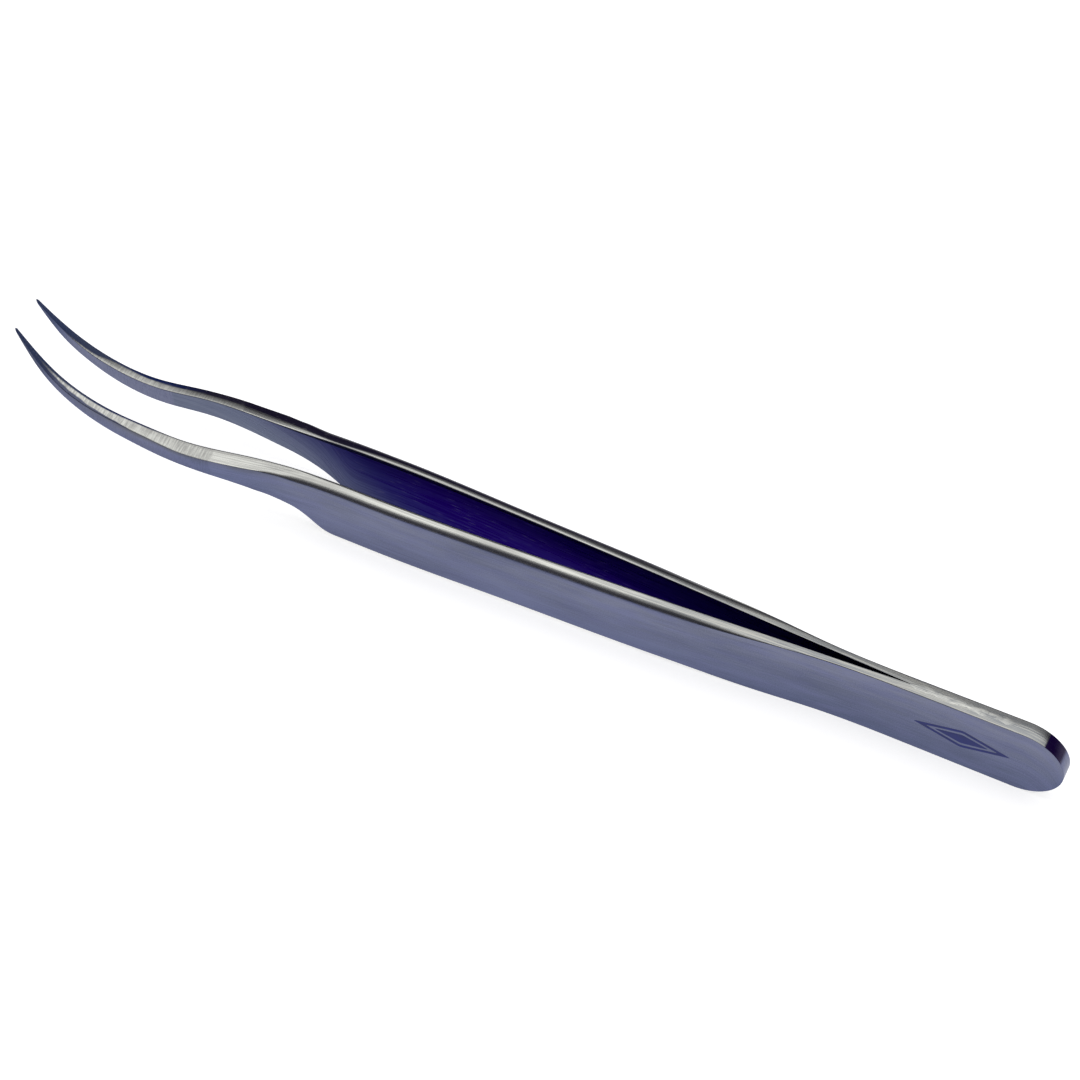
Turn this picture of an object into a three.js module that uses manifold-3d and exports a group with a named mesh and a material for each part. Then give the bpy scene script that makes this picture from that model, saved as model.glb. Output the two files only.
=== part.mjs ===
// Precision tweezers with fine upturned tips: two blades welded together at the butt.
// Millimetres. +X runs from the tips to the butt, +Y from the near blade to the far blade, +Z up.
// The tweezers stand on the straight lower edges of the blades, at z = 0.
// A "station" is a distance from the end of the butt, measured towards the tips.
import * as THREE from 'three';
import { mergeVertices } from 'three/addons/utils/BufferGeometryUtils.js';
import Module from 'manifold-3d';

const wasm = await Module();
wasm.setup();

// ---- driving dimensions ------------------------------------------------------------------
const LENGTH = 120;             // end of the butt to the tips
const BUTT_WIDTH = 9.9;         // height of a blade at the butt
const SHOULDER_WIDTH = 8.4;     // height of a blade where the body ends
const SHOULDER = 80.5;          // station where the straight lower edge ends
const BODY_END = 79;            // station where the straight upper edge ends
const BUTT_ROUND = 4.95;        // radius of the round end
const STOCK = 0.9;              // blade thickness in the butt and the spring zone
const SLIT = 17;                // station where the blades part
const HINGE = 29;               // station where the spring zone bends
const JOINT_GAP = 0.3;          // clearance between a tang and its arm
const TIP_HEIGHT = 13.3;        // height of the tips above the lower edge

const NUGGET_STATIONS = [6, 12.5];
const NUGGET_RADIUS = 1.8;
const NUGGET_THICKNESS = 0.7;
const NUGGET_FIT = 0.05;
const SEAM_START = 7;           // the fused edge runs from here to the end of the slit
const SEAM_WIDTH = 0.9;
const SEAM_DEPTH = 0.55;
const SEAM_FIT = 0.02;
const SEAM_PROUD = 0.5;         // how far the wedge runs past the edge before it is trimmed

const CURVE_STEPS = 6;          // straight steps between two points of a curve
const ROUND_STEPS = 32;         // sides of a round weld
const REACH = 40;               // more than any half width, for cutting tools

// Inner face of the far blade as [station, half gap], from past the slit to the tip.
const INNER_FACE = [
  [26, 0.39], [36, 0.84], [48, 1.38], [62, 1.86], [76, 2.2], [88, 2.27],
  [94, 2.69], [100, 2.96], [105, 2.56], [110, 2.36], [120, 2.05],
];
const TIP_HALF_WIDTH = 2.36;    // outer face of a blade at the tip
// Outer face of the far blade as [station, half width], from behind the tip to the slit.
const OUTER_FACE = [
  [115, 3.24], [110, 3.51], [105, 3.85], [100, 4.43], [94, 4.32], [88, 3.84],
  [76, 3.68], [62, 3.27], [48, 2.79], [42, 2.49], [36, 2.04], [26, 1.1], [SLIT, STOCK],
];
// Upper edge of the neck and tip as [station, height], from the body to the tip.
const UPPER_EDGE = [
  [84, 8.19], [90, 7.46], [96, 6.47], [102, 5.58], [107, 5.16], [112.3, 6.16], [116, 8.43],
  [118.5, 11.24],
];
// Lower edge of the neck and tip as [station, height], from the tip to the shoulder.
const LOWER_EDGE = [
  [119.1, 11.23], [117.7, 8.86], [115, 6.02], [111.5, 3.93], [107, 2.87], [102, 3.0],
  [96, 3.45], [91, 3.5], [87.5, 3.04], [84.5, 1.57], [82.6, 0.25],
];

const STEEL = { color: 0x8b90a3, roughness: 0.38, metalness: 1 };
const WELD_STEEL = { color: 0xa7a59f, roughness: 0.5, metalness: 1 };

// ---- helpers -----------------------------------------------------------------------------
const alongX = (station) => LENGTH / 2 - station;
const widthAt = (station) => BUTT_WIDTH + (SHOULDER_WIDTH - BUTT_WIDTH) * station / SHOULDER;

function toSolid(geometry) {
  const bare = geometry.clone();
  bare.deleteAttribute('normal');
  bare.deleteAttribute('uv');
  const merged = mergeVertices(bare, 1e-5);
  const corners = merged.index.array;
  const kept = [];
  for (let i = 0; i < corners.length; i += 3) {
    const [a, b, c] = [corners[i], corners[i + 1], corners[i + 2]];
    if (a !== b && b !== c && c !== a) kept.push(a, b, c);
  }
  return new wasm.Manifold(new wasm.Mesh({
    numProp: 3,
    vertProperties: new Float32Array(merged.attributes.position.array),
    triVerts: new Uint32Array(kept),
  }));
}

function toMesh(name, solid, look) {
  const { vertProperties, triVerts } = solid.getMesh();
  const geometry = new THREE.BufferGeometry();
  geometry.setAttribute('position', new THREE.BufferAttribute(vertProperties, 3));
  geometry.setIndex(new THREE.BufferAttribute(triVerts, 1));
  geometry.computeVertexNormals();
  const mesh = new THREE.Mesh(geometry, new THREE.MeshStandardMaterial(look));
  mesh.name = name;
  return mesh;
}

// A block between two stations, larger than the tweezers in the other directions.
function slab(fromStation, toStation) {
  const block = new THREE.BoxGeometry(toStation - fromStation, 2 * REACH, 2 * REACH);
  block.translate(alongX((fromStation + toStation) / 2), 0, 0);
  return toSolid(block);
}

const points = (list, side = 1) => list.map(([s, v]) => new THREE.Vector2(alongX(s), side * v));

// ---- blades ------------------------------------------------------------------------------
// The blade as seen from its flat side, x and z, extruded along y.
function sideSolid() {
  const buttMiddle = widthAt(0) / 2;
  const outline = new THREE.Shape();
  outline.moveTo(alongX(SHOULDER), 0);
  outline.lineTo(alongX(BUTT_ROUND), 0);
  for (const startAngle of [-Math.PI / 2, 0]) {
    outline.absellipse(alongX(BUTT_ROUND), buttMiddle, BUTT_ROUND, buttMiddle,
      startAngle, startAngle + Math.PI / 2, false);
  }
  outline.lineTo(alongX(BODY_END), widthAt(BODY_END));
  outline.splineThru([...points(UPPER_EDGE), new THREE.Vector2(alongX(LENGTH), TIP_HEIGHT)]);
  outline.splineThru([...points(LOWER_EDGE), new THREE.Vector2(alongX(SHOULDER), 0)]);
  const geometry = new THREE.ExtrudeGeometry(outline, {
    depth: 2 * REACH, bevelEnabled: false, curveSegments: CURVE_STEPS,
  });
  geometry.rotateX(Math.PI / 2);
  geometry.translate(0, REACH, 0);
  return toSolid(geometry);
}

// The blade as seen from above, x and y, extruded along z. side is +1 for the far blade.
function planSolid(side) {
  const outline = new THREE.Shape();
  outline.moveTo(alongX(0), 0);
  outline.lineTo(alongX(SLIT), 0);
  outline.splineThru(points(INNER_FACE, side));
  outline.lineTo(alongX(LENGTH), side * TIP_HALF_WIDTH);
  outline.splineThru(points(OUTER_FACE, side));
  outline.lineTo(alongX(0), side * STOCK);
  const geometry = new THREE.ExtrudeGeometry(outline, {
    depth: 2 * REACH, bevelEnabled: false, curveSegments: CURVE_STEPS,
  });
  geometry.translate(0, 0, -REACH);
  return toSolid(geometry);
}

// ---- welds -------------------------------------------------------------------------------
// A spot-weld nugget is a lens across the joint face of the two blades.
function nugget(station, grow = 0) {
  const half = NUGGET_THICKNESS / 2 + grow;
  const radius = NUGGET_RADIUS + grow;
  const profile = [
    new THREE.Vector2(0, -half),
    new THREE.Vector2(radius * 0.7, -half * 0.8),
    new THREE.Vector2(radius, 0),
    new THREE.Vector2(radius * 0.7, half * 0.8),
    new THREE.Vector2(0, half),
  ];
  const lens = new THREE.LatheGeometry(profile, ROUND_STEPS);
  lens.translate(alongX(station), 0, widthAt(station) / 2);
  return toSolid(lens);
}

// A V of fused metal along the joint between the blades, in their upper or lower edge.
// Its sides run on past the edge, so it still has to be trimmed flush with it.
function seamWedge(isUpper, grow = 0) {
  const depth = SEAM_DEPTH + grow;
  const start = SEAM_START - grow;
  const end = SLIT + grow;
  const spread = (SEAM_WIDTH / 2 + grow) * (depth + SEAM_PROUD) / depth;
  const section = new THREE.Shape();
  section.moveTo(0, -depth);
  section.lineTo(spread, SEAM_PROUD);
  section.lineTo(-spread, SEAM_PROUD);
  section.closePath();
  const wedge = new THREE.ExtrudeGeometry(section, { depth: end - start, bevelEnabled: false });
  wedge.translate(0, 0, (start - end) / 2);
  wedge.applyMatrix4(new THREE.Matrix4().makeBasis(
    new THREE.Vector3(0, 1, 0), new THREE.Vector3(0, 0, 1), new THREE.Vector3(1, 0, 0),
  ));
  const middle = (start + end) / 2;
  if (isUpper) {
    const taper = (BUTT_WIDTH - SHOULDER_WIDTH) / SHOULDER;
    wedge.rotateY(-Math.atan(taper));
    wedge.translate(alongX(middle), 0, widthAt(middle));
  } else {
    wedge.rotateX(Math.PI);
    wedge.translate(alongX(middle), 0, 0);
  }
  return toSolid(wedge);
}

// ---- assembly ----------------------------------------------------------------------------
const sideView = sideSolid();
const tangSpan = slab(-1, HINGE - JOINT_GAP / 2);
const armSpan = slab(HINGE + JOINT_GAP / 2, LENGTH + 1);

const tweezers = new THREE.Group();

function addBlade(prefix, side) {
  const blade = sideView.intersect(planSolid(side));
  let tang = blade.intersect(tangSpan);
  for (const station of NUGGET_STATIONS) {
    tang = tang.subtract(nugget(station, NUGGET_FIT));
  }
  for (const isUpper of [true, false]) {
    tang = tang.subtract(seamWedge(isUpper, SEAM_FIT));
  }
  tweezers.add(toMesh(`${prefix}_blade_tang`, tang, STEEL));
  tweezers.add(toMesh(`${prefix}_blade_arm`, blade.intersect(armSpan), STEEL));
}

addBlade('near', -1);
addBlade('far', 1);

tweezers.add(toMesh('rear_weld_nugget', nugget(NUGGET_STATIONS[0]), WELD_STEEL));
tweezers.add(toMesh('front_weld_nugget', nugget(NUGGET_STATIONS[1]), WELD_STEEL));
tweezers.add(toMesh('upper_weld_seam', seamWedge(true).intersect(sideView), WELD_STEEL));
tweezers.add(toMesh('lower_weld_seam', seamWedge(false).intersect(sideView), WELD_STEEL));

export default tweezers;
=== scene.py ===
"""Precision tweezers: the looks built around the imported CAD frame. Sizes are in millimetres
unless a name says otherwise, and a station is a distance from the end of the butt."""
import math

import bmesh
import bpy
import numpy as np
from mathutils import Matrix, Vector


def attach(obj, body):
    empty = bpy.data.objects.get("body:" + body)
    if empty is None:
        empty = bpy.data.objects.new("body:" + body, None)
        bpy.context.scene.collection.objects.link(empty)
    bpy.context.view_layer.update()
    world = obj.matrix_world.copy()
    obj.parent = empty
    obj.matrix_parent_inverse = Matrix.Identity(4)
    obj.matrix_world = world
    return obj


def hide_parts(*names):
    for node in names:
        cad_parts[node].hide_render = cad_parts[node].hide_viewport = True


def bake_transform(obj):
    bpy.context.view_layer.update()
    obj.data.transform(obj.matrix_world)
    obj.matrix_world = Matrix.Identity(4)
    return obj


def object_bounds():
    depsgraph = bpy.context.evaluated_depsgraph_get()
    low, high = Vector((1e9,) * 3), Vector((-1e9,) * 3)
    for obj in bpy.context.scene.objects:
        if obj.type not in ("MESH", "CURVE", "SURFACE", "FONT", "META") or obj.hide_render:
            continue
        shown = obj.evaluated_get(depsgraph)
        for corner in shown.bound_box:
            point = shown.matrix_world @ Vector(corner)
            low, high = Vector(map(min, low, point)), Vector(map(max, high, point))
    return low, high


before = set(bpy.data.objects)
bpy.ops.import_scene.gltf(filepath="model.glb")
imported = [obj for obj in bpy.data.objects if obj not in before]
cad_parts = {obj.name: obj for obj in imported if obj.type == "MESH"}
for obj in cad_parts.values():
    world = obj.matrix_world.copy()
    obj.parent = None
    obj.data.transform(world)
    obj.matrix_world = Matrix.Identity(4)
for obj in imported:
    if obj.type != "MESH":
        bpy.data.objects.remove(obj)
cad_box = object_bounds()

MM = 0.001
LENGTH = (cad_box[1].x - cad_box[0].x) / MM
BUTT_X = cad_box[1].x / MM

# ---- the blade's outline, as in the CAD source ----------------------------------------------
BUTT_WIDTH = 9.9
SHOULDER_WIDTH = 8.4
SHOULDER = 80.5
BODY_END = 79.0
BUTT_ROUND = 4.95
STOCK = 0.9
SLIT = 17.0
SLIT_SLOPE = 0.043          # how fast half the slit opens where it starts
TIP_HEIGHT = cad_box[1].z / MM

INNER_FACE = [
    (SLIT, 0), (26, 0.39), (36, 0.84), (48, 1.38), (62, 1.86), (76, 2.2), (88, 2.27),
    (94, 2.69), (100, 2.96), (105, 2.56), (110, 2.36), (120, 2.05),
]
OUTER_FACE = [
    (SLIT, STOCK), (26, 1.1), (36, 2.04), (42, 2.49), (48, 2.79), (62, 3.27), (76, 3.68),
    (88, 3.84), (94, 4.32), (100, 4.43), (105, 3.85), (110, 3.51), (115, 3.24), (120, 2.36),
]
UPPER_EDGE = [
    (84, 8.19), (90, 7.46), (96, 6.47), (102, 5.58), (107, 5.16), (112.3, 6.16), (116, 8.43),
    (118.5, 11.24), (120, TIP_HEIGHT),
]
LOWER_EDGE = [
    (SHOULDER, 0), (82.6, 0.25), (84.5, 1.57), (87.5, 3.04), (91, 3.5), (96, 3.45), (102, 3.0),
    (107, 2.87), (111.5, 3.93), (115, 6.02), (117.7, 8.86), (119.1, 11.23), (120, 12.95),
]

# ---- finish that the CAD leaves out ---------------------------------------------------------
# The long edges are rounded on the outside. Height of the rounding, by station, and the share
# of the edge's width that it takes; the rest of the width leans outwards by so many degrees.
EDGE_ROUND = [
    (0, 0.05), (30, 0.10), (44, 0.74), (60, 0.86), (76, 0.71), (85, 0.64), (88.5, 0.26),
    (91, 0.07), (104, 0.07), (112, 0.11), (120, 0.12),
]
ROUND_SHARE = [
    (0, 0.2), (24, 0.25), (40, 0.96), (85, 0.96), (89, 0.4), (94, 0.25), (104, 0.24),
    (112, 0.3), (120, 0.5),
]
EDGE_LEAN = [
    (0, 4.5), (24, 3), (40, 0), (86, 0), (95, 13), (99, 15), (105, 3), (108, 3), (114, 12),
    (120, 14),
]
# Width of the roll-off on the inner long edges, by station, and its height over its width.
INNER_ROLL = [
    (0, 0.012), (SLIT, 0.012), (26, 0.05), (44, 0.18), (65, 0.36), (82, 0.38), (88, 0.20),
    (92, 0.10), (105, 0.08), (120, 0.08),
]
ROLL_SLOPE = 0.95
GRIND_START = 95.6          # station where the crosswise grinding of the tips begins
INNER_GRIND_START = 104.1
GRIND_FADE = 0.35
TIP_TINT_START = 115.0      # the steel darkens from here to the tip
# Dark reflections are painted on the outer part of the far blade's edge, on the near blade's inner
# corner, and on the butt's round end between two tilts of its surface. The lists give, by station,
# how strong the painted dark is on the far blade, the share of its edge's width from which it
# starts and over which it sets in, and then how strong it is on the near blade's corner and the
# share of the width that it takes.
FAR_PAINTED_DARK = [(36, 0), (43, 0.7), (50, 1)]
FAR_PAINTED_DARK_FROM = [
    (40, 0.5), (47, 0.12), (62, 0.10), (76, 0.11), (84, 0.07), (90, 0.24), (98, 0.36),
    (104, 0.5), (111.4, 0.64), (114, 0.15), (117, 0),
]
FAR_PAINTED_DARK_OVER = [(40, 0.4), (48, 0.58), (62, 0.5), (76, 0.46), (84, 0.2), (96, 0.22), (104, 0.12)]
CORNER_PAINTED_DARK = [(84, 0), (90, 0.8), (101, 0.9), (107, 1)]
CORNER_WIDTH = [(84, 0.06), (101, 0.05), (105, 0.14), (112, 0.22), (116, 0.30)]
CORNER_FADE = 0.08
END_PAINTED_DARK_STARTS = (27.5, 29)
END_PAINTED_DARK_ENDS = (64, 56)
# The ground edges are bright up to a tilt, on the round end up to another, and towards the
# tips over a share of their width, by station.
EDGE_TILT = (64, 34)
END_BRIGHT_ENDS = (62, 52)
BRIGHT_WIDTH = [(104, 1), (108, 0.78), (111, 0.68), (113, 0.56), (116, 0.5), (120, 0.35)]
BRIGHT_FADE = 0.18

# ---- camera, from the fitted view of the object ---------------------------------------------
CAMERA_AZIMUTH = 24.86
CAMERA_ELEVATION = 54.84
CAMERA_ROLL = 0.896
CAMERA_DISTANCE = 0.3493
CAMERA_TARGET = (0.0012, 0.0, 0.009)
CAMERA_LENS = 112.1


# ---- curves ---------------------------------------------------------------------------------
def spline(knots, start_slope=None):
    """A smooth cubic through the knots: natural at an end with no slope given."""
    x = np.array([k[0] for k in knots], float)
    y = np.array([k[1] for k in knots], float)
    n = len(x)
    gap = np.diff(x)
    rise = np.diff(y) / gap
    system = np.zeros((n, n))
    right = np.zeros(n)
    for i in range(1, n - 1):
        system[i, i - 1] = gap[i]
        system[i, i] = 2 * (gap[i - 1] + gap[i])
        system[i, i + 1] = gap[i - 1]
        right[i] = 3 * (gap[i] * rise[i - 1] + gap[i - 1] * rise[i])
    system[0, 0], system[0, 1], right[0] = 2, 1, 3 * rise[0]
    if start_slope is not None:
        system[0, 0], system[0, 1], right[0] = 1, 0, start_slope
    system[-1, -1], system[-1, -2], right[-1] = 2, 1, 3 * rise[-1]
    slopes = np.linalg.solve(system, right)

    def at(s):
        s = np.asarray(s, float)
        i = np.clip(np.searchsorted(x, s) - 1, 0, n - 2)
        t = (s - x[i]) / gap[i]
        return (
            (1 + 2 * t) * (1 - t) ** 2 * y[i]
            + t * (1 - t) ** 2 * gap[i] * slopes[i]
            + t * t * (3 - 2 * t) * y[i + 1]
            + t * t * (t - 1) * gap[i] * slopes[i + 1]
        )

    return at


TAPER = (SHOULDER_WIDTH - BUTT_WIDTH) / SHOULDER
BODY_END_WIDTH = BUTT_WIDTH + TAPER * BODY_END
inner_curve = spline(INNER_FACE, start_slope=SLIT_SLOPE)
outer_curve = spline(OUTER_FACE, start_slope=0)
upper_curve = spline([(BODY_END, BODY_END_WIDTH)] + UPPER_EDGE, start_slope=TAPER)
lower_curve = spline(LOWER_EDGE, start_slope=0)


def inner_at(s):
    """Half the gap between the blades."""
    return float(inner_curve(s)) if s > SLIT else 0.0


def outer_at(s):
    """Distance from the middle plane to the outer face of a blade."""
    return float(outer_curve(s)) if s > SLIT else STOCK


def round_end(s):
    """Height lost at each long edge to the round end of the butt."""
    away = max(BUTT_ROUND - s, 0)
    return BUTT_ROUND - math.sqrt(BUTT_ROUND ** 2 - away ** 2)


def upper_at(s):
    whole = float(upper_curve(s)) if s > BODY_END else BUTT_WIDTH + TAPER * s
    return whole - round_end(s)


def lower_at(s):
    whole = float(lower_curve(s)) if s > SHOULDER else 0.0
    return whole + round_end(s)


def eased(pairs, s):
    """A value that eases from each (station, value) pair to the next."""
    x = np.array([p[0] for p in pairs], float)
    y = np.array([p[1] for p in pairs], float)
    i = int(np.clip(np.searchsorted(x, s) - 1, 0, len(x) - 2))
    t = float(np.clip((s - x[i]) / (x[i + 1] - x[i]), 0, 1))
    return float(y[i] + (y[i + 1] - y[i]) * t * t * (3 - 2 * t))


def smooth(start, end, value):
    """Eases from 0 at start to 1 at end; start may be the higher of the two."""
    t = min(max((value - start) / (end - start), 0.0), 1.0)
    return t * t * (3 - 2 * t)


# ---- node materials -------------------------------------------------------------------------
class Look:
    """A metal material under construction. Its textures lie on the piece's UV map, in which
    one unit is the length of the tweezers, or on the piece's own coordinates where it has no
    map. Their frequencies are per millimetre."""

    def __init__(self, name, uv_map=None):
        self.material = bpy.data.materials.new(name)
        self.material.use_nodes = True
        self.tree = self.material.node_tree
        self.shader = self.tree.nodes["Principled BSDF"]
        self.shader.inputs["Metallic"].default_value = 1.0
        if uv_map:
            self.unit = LENGTH
            self.place = self.add("ShaderNodeUVMap", uv_map=uv_map).outputs["UV"]
        else:
            self.unit = 1 / MM
            self.place = self.add("ShaderNodeTexCoord").outputs["Object"]
        self.relief = None

    def add(self, kind, inputs=None, **settings):
        node = self.tree.nodes.new(kind)
        for key, value in settings.items():
            setattr(node, key, value)
        for key, value in (inputs or {}).items():
            self.feed(node.inputs[key], value)
        return node

    def feed(self, socket, value):
        if isinstance(value, bpy.types.NodeSocket):
            self.tree.links.new(value, socket)
        elif hasattr(socket.default_value, "__len__") and len(socket.default_value) == 4:
            socket.default_value = (*value, 1)
        else:
            socket.default_value = value

    def noise(self, along, across, detail=2.0, seed=0.0):
        """A cloud texture with so many features per millimetre along and across the piece."""
        scale = (self.unit * along, self.unit * across, self.unit * across)
        stretched = self.add("ShaderNodeMapping", {
            "Vector": self.place, "Scale": scale, "Location": (seed, 2 * seed, seed),
        })
        return self.add("ShaderNodeTexNoise", {
            "Vector": stretched.outputs[0], "Scale": 1.0, "Detail": detail,
        }).outputs["Fac"]

    def station(self):
        split = self.add("ShaderNodeSeparateXYZ", {"Vector": self.place})
        return self.math("MULTIPLY", split.outputs["X"], self.unit)

    def attribute(self, name):
        return self.add("ShaderNodeAttribute", attribute_name=name).outputs["Fac"]

    def remap(self, value, low, high, to_low=0.0, to_high=1.0):
        return self.add("ShaderNodeMapRange", {
            "Value": value, "From Min": low, "From Max": high, "To Min": to_low, "To Max": to_high,
        }).outputs[0]

    def stretch(self, value, start, full, until, end):
        """Rises from 0 at start to 1 at full, stays there until, and is back at 0 at end."""
        rising, falling = self.remap(value, start, full), self.remap(value, end, until)
        return self.math("MULTIPLY", rising, falling)

    def smooth(self, value, low, high):
        """Eases from 0 at low to 1 at high."""
        return self.add("ShaderNodeMapRange", {"Value": value, "From Min": low, "From Max": high},
                        interpolation_type="SMOOTHSTEP").outputs[0]

    def math(self, operation, first, second):
        return self.add("ShaderNodeMath", {0: first, 1: second}, operation=operation).outputs[0]

    def blend(self, factor, first, second):
        """Mix of two numbers."""
        return self.add("ShaderNodeMix", {0: factor, 2: first, 3: second}).outputs[0]

    def colour(self, factor, first, second):
        """Mix of two colours."""
        return self.add("ShaderNodeMix", {0: factor, 6: first, 7: second},
                        data_type="RGBA").outputs[2]

    def bump(self, height, depth, strength=1.0):
        """Adds relief: depth is the height of the texture's full range, in millimetres."""
        inputs = {"Height": height, "Distance": depth * MM, "Strength": strength}
        if self.relief is not None:
            inputs["Normal"] = self.relief
        self.relief = self.add("ShaderNodeBump", inputs).outputs[0]

    def dull_metal(self, share):
        """Turns the surface from bare metal to a dull, less metallic one by a share from 0 to 1.
        """
        self.feed(self.shader.inputs["Metallic"], self.remap(share, 0.6, 0.95, 1.0, 0.2))
        self.shader.inputs["Specular IOR Level"].default_value = 0.12

    def finish(self, colour, roughness):
        self.feed(self.shader.inputs["Base Color"], colour)
        self.feed(self.shader.inputs["Roughness"], roughness)
        if self.relief is not None:
            self.feed(self.shader.inputs["Normal"], self.relief)
        return self.material


MID_TONES = (0.42, 0.58)                # where most of a noise's values lie
# Colours of the painted dark reflections on the edges, by where they lie.
VIOLET_PAINTED_DARK = (0.009, 0.001, 0.042)    # on the butt's round end
BROWN_PAINTED_DARK = (0.012, 0.009, 0.028)     # along the body
NAVY_PAINTED_DARK = (0.003, 0.014, 0.092)      # from the neck on
TIP_PAINTED_DARK = (0.056, 0.072, 0.135)       # towards the tips
TIP_TINT = (0.036, 0.054, 0.130)        # all round the tips' ends


def satin_body(look, station, tone):
    """Colour of the outer faces, with painted shade: bluer and darker low down, darker at the neck
    and low on the butt, and a grey painted shadow just below the neck's upper edge."""
    high = look.colour(tone, (0.105, 0.116, 0.175), (0.173, 0.186, 0.271))
    low = look.colour(tone, (0.086, 0.100, 0.184), (0.139, 0.160, 0.292))
    shaded = look.colour(tone, (0.066, 0.081, 0.156), (0.106, 0.129, 0.244))
    blue = look.colour(tone, (0.087, 0.098, 0.188), (0.141, 0.156, 0.289))
    low = look.colour(look.remap(station, 62.0, 28.0), low, shaded)
    fall = look.attribute("fall")
    # Painted shade: the face darker and bluer towards the bottom.
    body = look.colour(look.remap(fall, 0.12, 1.0), high, low)
    # Painted shade at the neck.
    neck = look.stretch(station, 85.0, 92.0, 97.0, 104.0)
    body = look.colour(look.math("MULTIPLY", neck, 0.7), body, shaded)
    # Painted shadow, grey, just below the neck's upper edge.
    grey = look.colour(tone, (0.050, 0.053, 0.064), (0.086, 0.090, 0.106))
    front = look.stretch(station, 87.0, 91.0, 107.0, 111.0)
    painted_shadow_under_edge = look.math("MULTIPLY", front, look.remap(fall, 0.34, 0.05, 0.0, 0.9))
    body = look.colour(painted_shadow_under_edge, body, grey)
    cloud = look.noise(0.22, 0.9, 4.0, 83.0)
    return look.colour(look.remap(cloud, 0.42, 0.62, 0.0, 0.55), body, blue)


def ground_edge(look, station, tone):
    """Colour of the ground edges: duller and streakier along the butt."""
    bright = look.colour(tone, (0.42, 0.42, 0.395), (0.62, 0.625, 0.58))
    dull = look.colour(tone, (0.235, 0.250, 0.268), (0.46, 0.455, 0.415))
    return look.colour(look.remap(station, 54.0, 38.0), bright, dull)


def painted_dark_colour(look, station):
    """Colour of the dark reflections painted on the edges, from the butt to the tips."""
    # oxide holds the colour of the painted dark reflection here.
    oxide = look.colour(look.remap(station, 5.0, 8.0), VIOLET_PAINTED_DARK, BROWN_PAINTED_DARK)
    oxide = look.colour(look.remap(station, 100.0, 105.0), oxide, NAVY_PAINTED_DARK)
    return look.colour(look.remap(station, 108.5, 112.5), oxide, TIP_PAINTED_DARK)


def blade_outside():
    """Satin outer faces with painted shade, bright ground edges, ground crosswise towards the
    tips, with dark reflections painted in places and darkened tips."""
    look = Look("satin_blade_steel", "blade_uv")
    station = look.station()
    streaks = look.noise(0.10, 7.0, 4.0)
    fine = look.noise(0.5, 16.0, 2.0, 5.0)
    blotch = look.noise(0.07, 0.3, 3.0, 11.0)
    grain = look.noise(8.0, 8.0, 2.0, 17.0)
    cross = look.noise(6.0, 0.7, 3.0, 23.0)
    wear = look.noise(1.2, 3.5, 4.0, 29.0)
    front = look.remap(station, GRIND_START, GRIND_START + GRIND_FADE)
    lines = look.blend(0.35, streaks, fine)
    lines = look.blend(look.math("MULTIPLY", front, 0.75), lines, cross)
    tone = look.blend(0.3, look.blend(0.5, blotch, lines), grain)
    tone = look.remap(tone, *MID_TONES)
    edge_tone = look.remap(look.blend(0.2, lines, blotch), *MID_TONES)

    worn = look.remap(wear, 0.3, 0.7, -0.22, 0.22)
    edge = look.remap(look.math("ADD", look.attribute("edge_mask"), worn), 0.25, 0.75)
    steel = look.colour(edge, satin_body(look, station, tone),
                        ground_edge(look, station, edge_tone))
    # The painted dark reflections on the edges, broken up by the wear noise.
    painted_dark_breakup = look.remap(wear, 0.30, 0.45, 0.92, 1.04)
    scale = look.math("MULTIPLY", look.attribute("painted_dark_reflection_mask"), painted_dark_breakup)
    steel = look.colour(scale, steel, painted_dark_colour(look, station))
    tint = look.remap(station, TIP_TINT_START, TIP_TINT_START + 2.2)
    tint = look.math("MULTIPLY", tint, look.remap(cross, 0.3, 0.6, 0.78, 1.0))
    steel = look.colour(tint, steel, TIP_TINT)
    look.dull_metal(look.math("MAXIMUM", scale, tint))

    satin = look.remap(tone, 0.0, 1.0, 0.34, 0.42)
    ground = look.remap(edge_tone, 0.0, 1.0, 0.28, 0.20)
    roughness = look.blend(edge, satin, ground)
    roughness = look.math("ADD", roughness, look.math("MULTIPLY", front, 0.10))
    look.bump(lines, 0.006, 0.5)
    look.bump(look.math("MULTIPLY", front, cross), 0.02, 0.6)
    look.bump(grain, 0.004, 0.35)
    return look.finish(steel, roughness)


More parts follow.
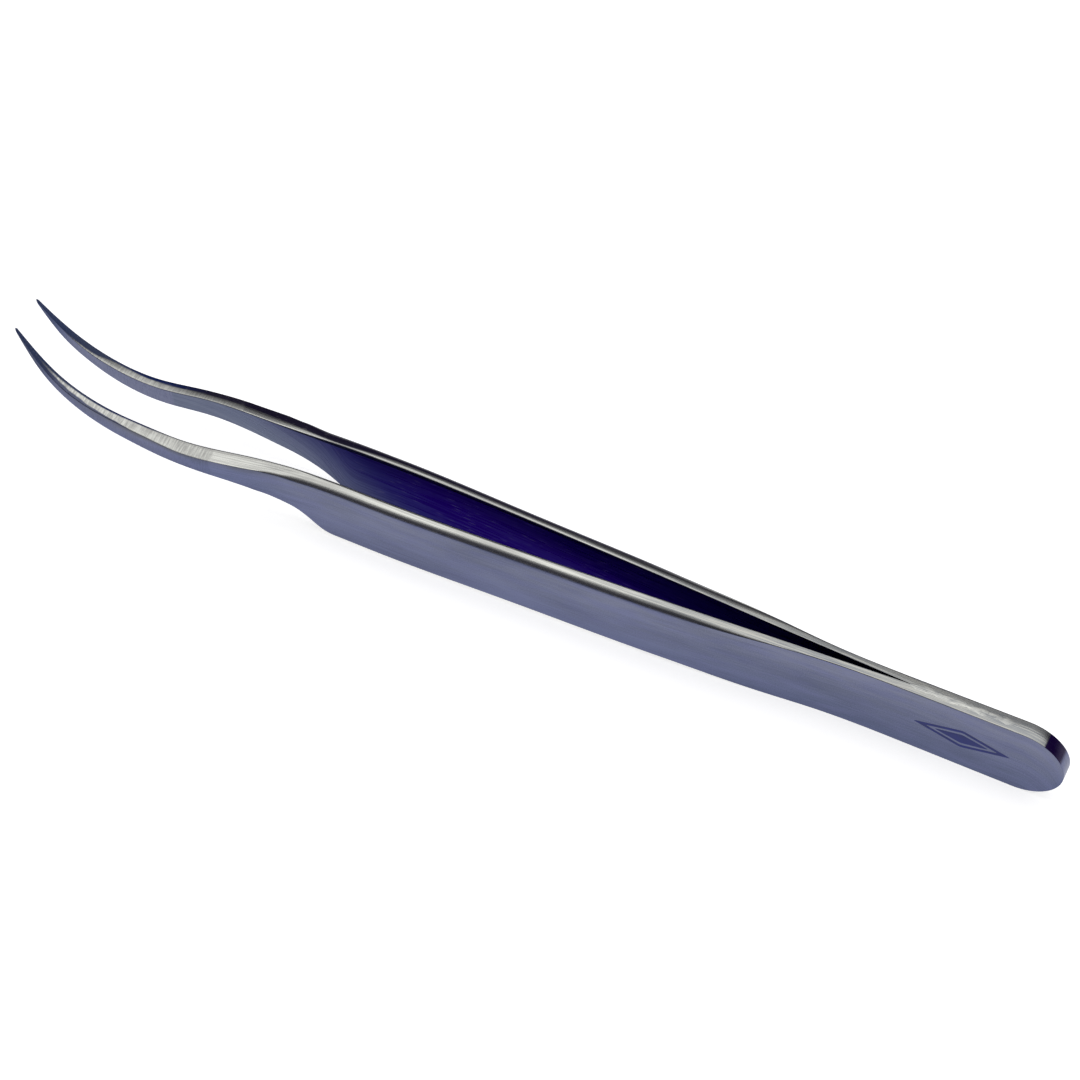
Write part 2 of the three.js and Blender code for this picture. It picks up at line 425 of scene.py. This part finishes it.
def blade_inside():
    """Inner faces, from violet over navy to pale blue-grey towards the tips, with fine lengthwise
    scratches and crosswise grinding at the tips. The violet and navy are painted shade, deepest in
    the gap towards the slit and high up."""
    look = Look("inner_face_steel", "blade_uv")
    station = look.station()
    streaks = look.noise(0.12, 3.6, 5.0, 31.0)
    blotch = look.noise(0.05, 0.35, 3.0, 37.0)
    scratch = look.remap(look.noise(0.45, 6.5, 1.0, 43.0), 0.66, 0.74)
    cross = look.noise(6.0, 0.7, 3.0, 47.0)
    # The painted shade of the gap reaches further towards the tips high up than low down.
    lower = look.remap(look.attribute("fall"), 0.0, 1.0, -4.0, 5.0)
    slanted = look.math("ADD", station, lower)
    neck = look.smooth(slanted, 77.0, 96.0)
    front = look.remap(station, INNER_GRIND_START, INNER_GRIND_START + GRIND_FADE)

    tone = look.blend(0.65, blotch, streaks)
    tone = look.blend(look.math("MULTIPLY", front, 0.6), tone, cross)
    tone = look.remap(tone, *MID_TONES)
    # Violet and navy: painted shade deep in the gap between the blades.
    violet = look.colour(tone, (0.008, 0.003, 0.068), (0.022, 0.016, 0.122))
    navy = look.colour(tone, (0.010, 0.011, 0.056), (0.028, 0.036, 0.105))
    deep = look.colour(look.smooth(slanted, 68.0, 86.0), violet, navy)
    pale = look.colour(tone, (0.093, 0.108, 0.162), (0.136, 0.155, 0.216))
    ground = look.colour(tone, (0.118, 0.128, 0.196), (0.160, 0.172, 0.250))
    pale = look.colour(front, pale, ground)
    steel = look.colour(neck, deep, pale)
    steel = look.colour(look.math("MULTIPLY", scratch, 0.3), steel, (0.20, 0.19, 0.26))
    tint = look.remap(station, TIP_TINT_START + 1.0, TIP_TINT_START + 3.2, 0.0, 0.8)
    steel = look.colour(tint, steel, TIP_TINT)
    # Painted dark reflection on the near blade's inner corner and on the round end.
    scale = look.attribute("painted_dark_reflection_mask")
    steel = look.colour(scale, steel, NAVY_PAINTED_DARK)
    look.dull_metal(look.math("MAXIMUM", scale, tint))
    roughness = look.remap(tone, 0.0, 1.0, 0.27, 0.40)
    look.bump(streaks, 0.006, 0.5)
    look.bump(scratch, 0.004, 0.6)
    # The painted shade also tints the glancing reflections violet.
    shaded_glance_tint = look.colour(neck, (0.50, 0.45, 0.90), (0.80, 0.82, 0.95))
    look.feed(look.shader.inputs["Specular Tint"], shaded_glance_tint)
    return look.finish(steel, roughness)


def weld_surface(name, uv_map=None):
    """Fused metal that was ground flush: mottled, with smeared grinding lines."""
    look = Look(name, uv_map)
    mottle = look.noise(0.9, 2.2, 4.0, 53.0)
    lines = look.noise(0.18, 8.0, 3.0, 59.0)
    pits = look.remap(look.noise(2.6, 4.5, 2.0, 61.0), 0.62, 0.72)
    tone = look.blend(0.6, mottle, lines)
    steel = look.colour(look.remap(tone, 0.36, 0.62), (0.25, 0.262, 0.275), (0.70, 0.70, 0.64))
    steel = look.colour(look.math("MULTIPLY", pits, 0.5), steel, (0.16, 0.16, 0.17))
    roughness = look.remap(tone, 0.3, 0.7, 0.42, 0.24)
    look.bump(mottle, 0.02, 0.5)
    look.bump(lines, 0.008, 0.5)
    return look.finish(steel, roughness)


def etched_oxide():
    """Dark blue oxide of an electrolytic etch."""
    look = Look("etched_oxide", "mark_uv")
    look.shader.inputs["Metallic"].default_value = 0.75
    cloud = look.noise(0.5, 0.9, 3.0, 67.0)
    grain = look.noise(9.0, 9.0, 2.0, 71.0)
    tone = look.remap(look.blend(0.3, cloud, grain), 0.35, 0.65)
    ink = look.colour(tone, (0.008, 0.014, 0.092), (0.018, 0.026, 0.165))
    look.bump(grain, 0.004, 0.5)
    return look.finish(ink, look.remap(tone, 0.0, 1.0, 0.40, 0.52))


# ---- blades ---------------------------------------------------------------------------------
OUTER_STEPS = 18            # steps round an outer edge
LEAN_STEPS = 9              # steps across the leaning part of an edge
LEAN_CROWD = 1.5            # these steps are closer together at the inner corner
LEAN_BEND = 0.5             # share of that part over which the lean sets in
INNER_STEPS = 5             # steps round an inner edge
STEEP_STEPS = 3             # those of them that look like the inner face
FACE_STEPS = 6
SUPPORT = 0.05              # a row of points this close to each corner keeps flat faces flat
ROLL_LIMIT = 0.25           # most of a section's thickness that the inner roll-off may take
DROP_LIMIT = 0.2            # and most of its height
ROUND_LIMIT = 0.4           # most of its height that an outer rounding may take
BUTT_RINGS = 40
BODY_SPACING = 0.5
FRONT_START = 78.0          # the rings are closer together from here to the tips
FRONT_SPACING = 0.2
TIP_ROUND = 0.25            # length over which the tip closes
TIP_RINGS = 8


def stations():
    """Stations of the rings: close together at the round butt and at the tips."""
    butt = BUTT_ROUND * (1 - np.cos(np.radians(np.linspace(2, 90, BUTT_RINGS))))
    body = np.arange(BUTT_ROUND + BODY_SPACING, FRONT_START, BODY_SPACING)
    front = np.arange(FRONT_START, LENGTH - TIP_ROUND, FRONT_SPACING)
    tip = LENGTH - TIP_ROUND * (1 - np.sin(np.radians(np.linspace(0, 84, TIP_RINGS))))
    return np.concatenate([butt, body, front, tip])


def flat_run(start, end):
    """Heights along a flat face, with a support row near each end."""
    margin = math.copysign(min(SUPPORT, abs(end - start) / 4), end - start)
    return [start, *np.linspace(start + margin, end - margin, FACE_STEPS + 1), end]


def edge_marks(s, side, is_top, tilt, share):
    """How bright-ground an edge is and how strong the dark reflection painted on it is, as (edge,
    scale), each from 0 to 1, where it tilts outwards by so many degrees at a share of its width
    from the inner face."""
    edge = smooth(*EDGE_TILT, tilt)
    bright = eased(BRIGHT_WIDTH, s)
    if bright < 1:
        edge *= smooth(bright + BRIGHT_FADE, bright, share)
    # The dark is painted reflection: on the upper half of the round end between two tilts, on the
    # far blade's outer edge, and on the near blade's inner corner.
    if s < BUTT_ROUND:
        end_tilt = math.degrees(math.asin((BUTT_ROUND - s) / BUTT_ROUND))
        scale = smooth(*END_PAINTED_DARK_STARTS, end_tilt) * smooth(*END_PAINTED_DARK_ENDS, end_tilt) * is_top
        edge *= smooth(*END_BRIGHT_ENDS, end_tilt)
    elif side > 0:
        start = eased(FAR_PAINTED_DARK_FROM, s)
        scale = eased(FAR_PAINTED_DARK, s) * smooth(start, start + eased(FAR_PAINTED_DARK_OVER, s), share)
    else:
        width = eased(CORNER_WIDTH, s)
        scale = eased(CORNER_PAINTED_DARK, s) * smooth(width + CORNER_FADE, width, share)
    return edge, scale


def edge_profile(s, thick, high):
    """Half of a section's narrow edge, from its inner corner to where the outer face begins,
    as (across, drop, tilt) with the tilt in degrees, negative on the inner roll-off."""
    roll = min(eased(INNER_ROLL, s), ROLL_LIMIT * thick)
    drop = min(roll * ROLL_SLOPE, DROP_LIMIT * high)
    profile = []
    for angle in np.radians(np.linspace(90, 0, INNER_STEPS + 1)):
        tilt = math.degrees(math.atan2(math.sin(angle) * drop, math.cos(angle) * roll))
        profile.append((roll - roll * math.sin(angle), drop - drop * math.cos(angle), -tilt))
    lean = math.tan(math.radians(eased(EDGE_LEAN, s)))
    rise = min(eased(EDGE_ROUND, s), ROUND_LIMIT * high)
    across = eased(ROUND_SHARE, s) * (thick - roll)
    start = math.atan2(rise / across, max(lean, 1e-6))
    arc_width = across * (1 - math.cos(start))
    flat_width = thick - roll - arc_width
    down = 0.0
    for t in np.linspace(0, 1, LEAN_STEPS + 1)[1:] ** LEAN_CROWD:
        bend = t * t / (2 * LEAN_BEND) if t < LEAN_BEND else t - LEAN_BEND / 2
        down = lean * flat_width * bend
        slope = lean * min(t / LEAN_BEND, 1)
        profile.append((roll + flat_width * t, down, math.degrees(math.atan(slope))))
    for angle in np.linspace(start, 0, OUTER_STEPS + 1)[1:]:
        tilt = math.degrees(math.atan2(math.cos(angle) * rise, math.sin(angle) * across))
        y = roll + flat_width + across * (math.cos(angle) - math.cos(start))
        profile.append((y, down + rise * (math.sin(start) - math.sin(angle)), tilt))
    return profile


def ring(s, side):
    """Section of a blade at station s, from the inner corner over the top, down the outer
    face and back up the inner one, as (y, z, edge, scale, fall, zone): y is the distance from
    the middle plane, fall goes from 0 at the top to 1 at the bottom, and zone is the material
    of the stretch after the point."""
    g, o = inner_at(s), outer_at(s)
    top, bottom = upper_at(s), lower_at(s)
    profile = edge_profile(s, o - g, top - bottom)
    section = []

    def add(y, z, marks, is_inside):
        fall = (top - z) / (top - bottom)
        section.append((y, z, *marks, fall, "inside" if is_inside else "outside"))

    for i, (across, drop, tilt) in enumerate(profile):
        marks = edge_marks(s, side, True, tilt, across / (o - g))
        add(g + across, top - drop, marks, i < STEEP_STEPS)
    deep = profile[-1][1]
    for z in flat_run(top - deep, bottom + deep)[1:-1]:
        add(o, z, (0.0, 0.0), False)
    for i, (across, drop, tilt) in reversed(list(enumerate(profile))):
        marks = edge_marks(s, side, False, tilt, across / (o - g))
        add(g + across, bottom + drop, marks, i <= STEEP_STEPS)
    shallow = profile[0][1]
    for z in flat_run(bottom + shallow, top - shallow)[1:-1]:
        add(g, z, (0.0, 0.0), True)
    if s > LENGTH - TIP_ROUND:
        shrink = math.sqrt(max(1 - ((s - LENGTH + TIP_ROUND) / TIP_ROUND) ** 2, 0.0))
        mid_y, mid_z = (g + o) / 2, (top + bottom) / 2
        section = [
            (mid_y + (p[0] - mid_y) * shrink, mid_z + (p[1] - mid_z) * shrink, *p[2:])
            for p in section
        ]
    return section


MARKS = ("edge_mask", "painted_dark_reflection_mask", "fall")     # what the mesh tells the blade's materials


def make_blade(name, side, materials):
    """A closed blade swept through its rings. side is +1 for the far blade and -1 for the near
    one, a mirror image whose faces run the other way round."""
    mesh = bpy.data.meshes.new(name)
    work = bmesh.new()
    uv = work.loops.layers.uv.new("blade_uv")
    marks = [work.verts.layers.float.new(mark) for mark in MARKS]
    slots = {"outside": 0, "inside": 1}
    rings, lengths, zones = [], [], []
    places = stations()
    for s in places:
        section = ring(s, side)
        verts = []
        for y, z, edge, scale, fall, _ in section:
            vert = work.verts.new(((BUTT_X - s) * MM, side * y * MM, z * MM))
            for layer, value in zip(marks, (edge, scale, fall)):
                vert[layer] = value
            verts.append(vert)
        closed = np.array([p[:2] for p in section + section[:1]])
        rings.append(verts)
        lengths.append(np.concatenate([[0], np.cumsum(np.hypot(*np.diff(closed, axis=0).T))]))
        zones = [p[5] for p in section]
    for k, (s, s_next) in enumerate(zip(places[:-1], places[1:])):
        for i, zone in enumerate(zones):
            j = (i + 1) % len(zones)
            corners = [
                (rings[k][i], s, lengths[k][i]), (rings[k][j], s, lengths[k][i + 1]),
                (rings[k + 1][j], s_next, lengths[k + 1][i + 1]),
                (rings[k + 1][i], s_next, lengths[k + 1][i]),
            ]
            if side < 0:
                corners.reverse()
            face = work.faces.new([c[0] for c in corners])
            face.material_index = slots[zone]
            face.smooth = True
            for loop, (_, along, around) in zip(face.loops, corners):
                loop[uv].uv = (along / LENGTH, around / LENGTH)
    for end, flip in ((rings[0], side > 0), (rings[-1], side < 0)):
        work.faces.new(end[::-1] if flip else end)
    return finish_mesh(name, mesh, work, materials)


def finish_mesh(name, mesh, work, materials):
    """The bmesh as an object in the scene, with its materials."""
    work.normal_update()
    work.to_mesh(mesh)
    work.free()
    for material in materials:
        mesh.materials.append(material)
    piece = bpy.data.objects.new(name, mesh)
    bpy.context.scene.collection.objects.link(piece)
    return piece


# ---- welds ----------------------------------------------------------------------------------
SEAM_START = 5.6            # the fused strip runs from here to just past the end of the slit
SEAM_END = 17.5
SEAM_HALF_WIDTH = 0.42
SEAM_PROUD = 0.008          # height of the fused strip over the ground edge
SEAM_DEPTH = 0.3
SEAM_ROWS = 120
SEAM_COLUMNS = 12


def seam_half_width(s):
    """Irregular half width, closing at both ends."""
    along = (s - SEAM_START) / (SEAM_END - SEAM_START)
    closing = min(1.0, math.sqrt(max(min(along * 9, (1 - along) * 14), 0)))
    wander = 1 + 0.16 * math.sin(2.1 * s) + 0.11 * math.sin(5.3 * s + 1) + 0.05 * math.sin(11 * s)
    return max(SEAM_HALF_WIDTH * wander * closing, 0.02)


def edge_fall(s, y):
    """How far the ground edge has fallen at distance y from the middle plane, leaving out
    the roll-off on its inner corner."""
    inner = inner_at(s)
    profile = edge_profile(s, outer_at(s) - inner, upper_at(s) - lower_at(s))
    across = max(abs(y) - inner, eased(INNER_ROLL, s))
    return float(np.interp(across, [p[0] for p in profile], [p[1] for p in profile]))


def make_weld_seam(name, is_upper, material):
    """A thin closed strip of fused metal along the joint, standing slightly proud."""
    mesh = bpy.data.meshes.new(name)
    work = bmesh.new()
    uv = work.loops.layers.uv.new("seam_uv")
    up = 1 if is_upper else -1
    rows = []
    for s in np.linspace(SEAM_START, SEAM_END, SEAM_ROWS + 1):
        reach = seam_half_width(s)
        middle = 0.06 * math.sin(1.7 * s + 0.6) * min(1.0, reach / SEAM_HALF_WIDTH)
        level = upper_at(s) if is_upper else lower_at(s)
        outer, deep = [], []
        for t in np.linspace(-1, 1, SEAM_COLUMNS + 1):
            y = middle + reach * t
            bead = SEAM_PROUD * (1.6 * (1 - t * t) ** 0.7 - 0.6)
            outer.append((s, y, level + up * (bead - edge_fall(s, y))))
        for t in (0.7, -0.7):
            deep.append((s, middle + reach * t, level - up * SEAM_DEPTH))
        rows.append([work.verts.new(((BUTT_X - p[0]) * MM, p[1] * MM, p[2] * MM))
                     for p in outer + deep])
    count = len(rows[0])
    for first, second in zip(rows, rows[1:]):
        for i in range(count):
            j = (i + 1) % count
            corners = [first[i], first[j], second[j], second[i]]
            face = work.faces.new(corners if is_upper else corners[::-1])
            face.smooth = i < SEAM_COLUMNS
    work.faces.new(rows[0][::-1] if is_upper else rows[0])
    work.faces.new(rows[-1] if is_upper else rows[-1][::-1])
    for face in work.faces:
        for loop in face.loops:
            place = loop.vert.co / MM
            loop[uv].uv = (place.x / LENGTH, place.y / LENGTH)
    return finish_mesh(name, mesh, work, [material])


# ---- mark -----------------------------------------------------------------------------------
MARK_STATION = 11.0
MARK_LENGTH = 10.6
MARK_HEIGHT = 3.0
MARK_LINE = 0.36            # width of the frame's line
HEART_LENGTH = 0.56         # size of the inner lozenge as shares of the outer one
HEART_HEIGHT = 0.5
MARK_PROUD = 0.012
MARK_SUNK = 0.02


def lozenge(length, height, corner=0.16, steps=5):
    """Points round a lozenge with its four corners rounded by short curves."""
    tips = [Vector((length / 2, 0)), Vector((0, height / 2)),
            Vector((-length / 2, 0)), Vector((0, -height / 2))]
    outline = []
    for i, tip in enumerate(tips):
        before, after = tips[i - 1], tips[(i + 1) % 4]
        start = tip + (before - tip).normalized() * corner * 2
        end = tip + (after - tip).normalized() * corner * 2
        for t in np.linspace(0, 1, steps + 1):
            outline.append(start * (1 - t) ** 2 + tip * 2 * t * (1 - t) + end * t * t)
    return outline


def make_mark(name, material):
    """A plain lozenge inside a lozenge frame, etched on the near face of the butt."""
    mesh = bpy.data.meshes.new(name)
    work = bmesh.new()
    uv = work.loops.layers.uv.new("mark_uv")
    middle_z = (upper_at(MARK_STATION) + lower_at(MARK_STATION)) / 2

    def layer(outline, depth):
        return [work.verts.new(((BUTT_X - MARK_STATION + p.x) * MM, -depth * MM,
                                (middle_z + p.y) * MM)) for p in outline]

    def wall(first, second):
        for i in range(len(first)):
            j = (i + 1) % len(first)
            work.faces.new([first[i], first[j], second[j], second[i]])

    face_y, back_y = STOCK + MARK_PROUD, STOCK - MARK_SUNK
    slope = math.hypot(MARK_LENGTH, MARK_HEIGHT)
    inset = MARK_LINE * slope
    rim = lozenge(MARK_LENGTH, MARK_HEIGHT)
    hole = lozenge(MARK_LENGTH - 2 * inset / MARK_HEIGHT, MARK_HEIGHT - 2 * inset / MARK_LENGTH)
    heart = lozenge(MARK_LENGTH * HEART_LENGTH, MARK_HEIGHT * HEART_HEIGHT)
    rim_face, rim_back = layer(rim, face_y), layer(rim, back_y)
    hole_face, hole_back = layer(hole, face_y), layer(hole, back_y)
    heart_face, heart_back = layer(heart, face_y), layer(heart, back_y)
    wall(rim_face, hole_face)
    wall(hole_face, hole_back)
    wall(hole_back, rim_back)
    wall(rim_back, rim_face)
    wall(heart_back, heart_face)
    work.faces.new(heart_face)
    work.faces.new(heart_back[::-1])
    bmesh.ops.recalc_face_normals(work, faces=work.faces)
    for face in work.faces:
        for loop in face.loops:
            place = loop.vert.co / MM
            loop[uv].uv = (place.x / LENGTH, place.z / LENGTH)
    return finish_mesh(name, mesh, work, [material])


outside, inside = blade_outside(), blade_inside()

for side, word in ((-1, "near"), (1, "far")):
    blade = make_blade(f"{word}_blade", side, [outside, inside])
    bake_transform(blade)
    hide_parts(f"{word}_blade_tang", f"{word}_blade_arm")

weld = weld_surface("ground_weld_steel", "seam_uv")
for is_upper, word in ((True, "upper"), (False, "lower")):
    seam = make_weld_seam(f"{word}_fused_edge", is_upper, weld)
    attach(seam, "butt")
    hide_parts(f"{word}_weld_seam")

mark = make_mark("lozenge_mark", etched_oxide())
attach(mark, "butt")

nugget_steel = weld_surface("nugget_steel")
for word in ("rear", "front"):
    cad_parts[f"{word}_weld_nugget"].material_slots[0].material = nugget_steel

# ---- stage ----------------------------------------------------------------------------------
FLOOR_HALF = 6.0
FLOOR_GLOW = 0.70           # a lit white table, so that shadows on it stay faint
# Softboxes over the table: place, size and power. The bright one hangs inside a wide dim one.
SOFTBOXES = {
    "bright_softbox": ((0.075, 0.15, 0.5), (1.35, 0.46), 1.90),
    "wide_softbox": ((-0.05, 0.25, 0.51), (1.1, 1.0), 0.70),
}
FILL_POWER = 0.3
FILL_ANGLE = 60.0
BACKDROP = (0.84, 0.84, 0.84, 1)    # what the camera sees past the floor's edge
# Light from the room by height of the direction, from straight down to straight up: a pale
# room below the horizon, dark above it, as round a table under a softbox.
ROOM = [
    (-1.0, (0.70, 0.70, 0.72)), (0.06, (0.60, 0.60, 0.62)), (0.20, (0.040, 0.036, 0.055)),
    (0.70, (0.050, 0.050, 0.070)), (1.0, (0.14, 0.14, 0.16)),
]


def make_floor():
    mesh = bpy.data.meshes.new("floor")
    corners = [(-FLOOR_HALF, -FLOOR_HALF, 0), (FLOOR_HALF, -FLOOR_HALF, 0),
               (FLOOR_HALF, FLOOR_HALF, 0), (-FLOOR_HALF, FLOOR_HALF, 0)]
    mesh.from_pydata(corners, [], [(0, 1, 2, 3)])
    floor = bpy.data.objects.new("floor", mesh)
    bpy.context.scene.collection.objects.link(floor)
    material = bpy.data.materials.new("pale_floor")
    material.use_nodes = True
    shader = material.node_tree.nodes["Principled BSDF"]
    shader.inputs["Base Color"].default_value = (0.80, 0.80, 0.80, 1)
    shader.inputs["Roughness"].default_value = 1.0
    shader.inputs["Specular IOR Level"].default_value = 0.0
    shader.inputs["Emission Color"].default_value = (1, 1, 1, 1)
    shader.inputs["Emission Strength"].default_value = FLOOR_GLOW
    mesh.materials.append(material)


def add_light(name, light, place):
    lamp = bpy.data.objects.new(name, light)
    bpy.context.scene.collection.objects.link(lamp)
    lamp.location = place
    return lamp


def make_lights():
    for name, (place, size, power) in SOFTBOXES.items():
        softbox = bpy.data.lights.new(name, "AREA")
        softbox.shape = "RECTANGLE"
        softbox.size, softbox.size_y = size
        softbox.energy = power
        add_light(name, softbox, place)
    fill = bpy.data.lights.new("table_fill", "SUN")
    fill.energy = FILL_POWER
    fill.angle = math.radians(FILL_ANGLE)
    add_light("table_fill", fill, (0, 0, 1)).visible_glossy = False


def make_world():
    world = bpy.data.worlds.new("studio")
    bpy.context.scene.world = world
    world.use_nodes = True
    nodes, links = world.node_tree.nodes, world.node_tree.links
    nodes.clear()
    coords = nodes.new("ShaderNodeTexCoord")
    split = nodes.new("ShaderNodeSeparateXYZ")
    links.new(coords.outputs["Generated"], split.inputs[0])
    height = nodes.new("ShaderNodeMapRange")
    height.inputs["From Min"].default_value = -1
    height.inputs["From Max"].default_value = 1
    links.new(split.outputs["Z"], height.inputs["Value"])
    ramp = nodes.new("ShaderNodeValToRGB")
    links.new(height.outputs[0], ramp.inputs[0])
    stops = ramp.color_ramp.elements
    stops[0].color = (*ROOM[0][1], 1)
    stops[1].color = (*ROOM[-1][1], 1)
    for level, colour in ROOM[1:-1]:
        stops.new((level + 1) / 2).color = (*colour, 1)
    room = nodes.new("ShaderNodeBackground")
    links.new(ramp.outputs[0], room.inputs["Color"])
    backdrop = nodes.new("ShaderNodeBackground")
    backdrop.inputs["Color"].default_value = BACKDROP
    path = nodes.new("ShaderNodeLightPath")
    mix = nodes.new("ShaderNodeMixShader")
    links.new(path.outputs["Is Camera Ray"], mix.inputs[0])
    links.new(room.outputs[0], mix.inputs[1])
    links.new(backdrop.outputs[0], mix.inputs[2])
    output = nodes.new("ShaderNodeOutputWorld")
    links.new(mix.outputs[0], output.inputs[0])


def make_camera():
    data = bpy.data.cameras.new("camera")
    data.lens = CAMERA_LENS
    data.sensor_width = 36
    data.clip_start = 0.01
    camera = bpy.data.objects.new("camera", data)
    bpy.context.scene.collection.objects.link(camera)
    azimuth, elevation = math.radians(CAMERA_AZIMUTH), math.radians(CAMERA_ELEVATION)
    back = Vector((
        math.sin(azimuth) * math.cos(elevation),
        -math.cos(azimuth) * math.cos(elevation),
        math.sin(elevation),
    ))
    turn = (-back).to_track_quat("-Z", "Y").to_matrix().to_4x4()
    roll = Matrix.Rotation(math.radians(CAMERA_ROLL), 4, "Z")
    place = Matrix.Translation(Vector(CAMERA_TARGET) + CAMERA_DISTANCE * back)
    camera.matrix_world = place @ turn @ roll
    bpy.context.scene.camera = camera


make_floor()
make_lights()
make_world()
make_camera()
bpy.context.scene.view_settings.view_transform = "Standard"
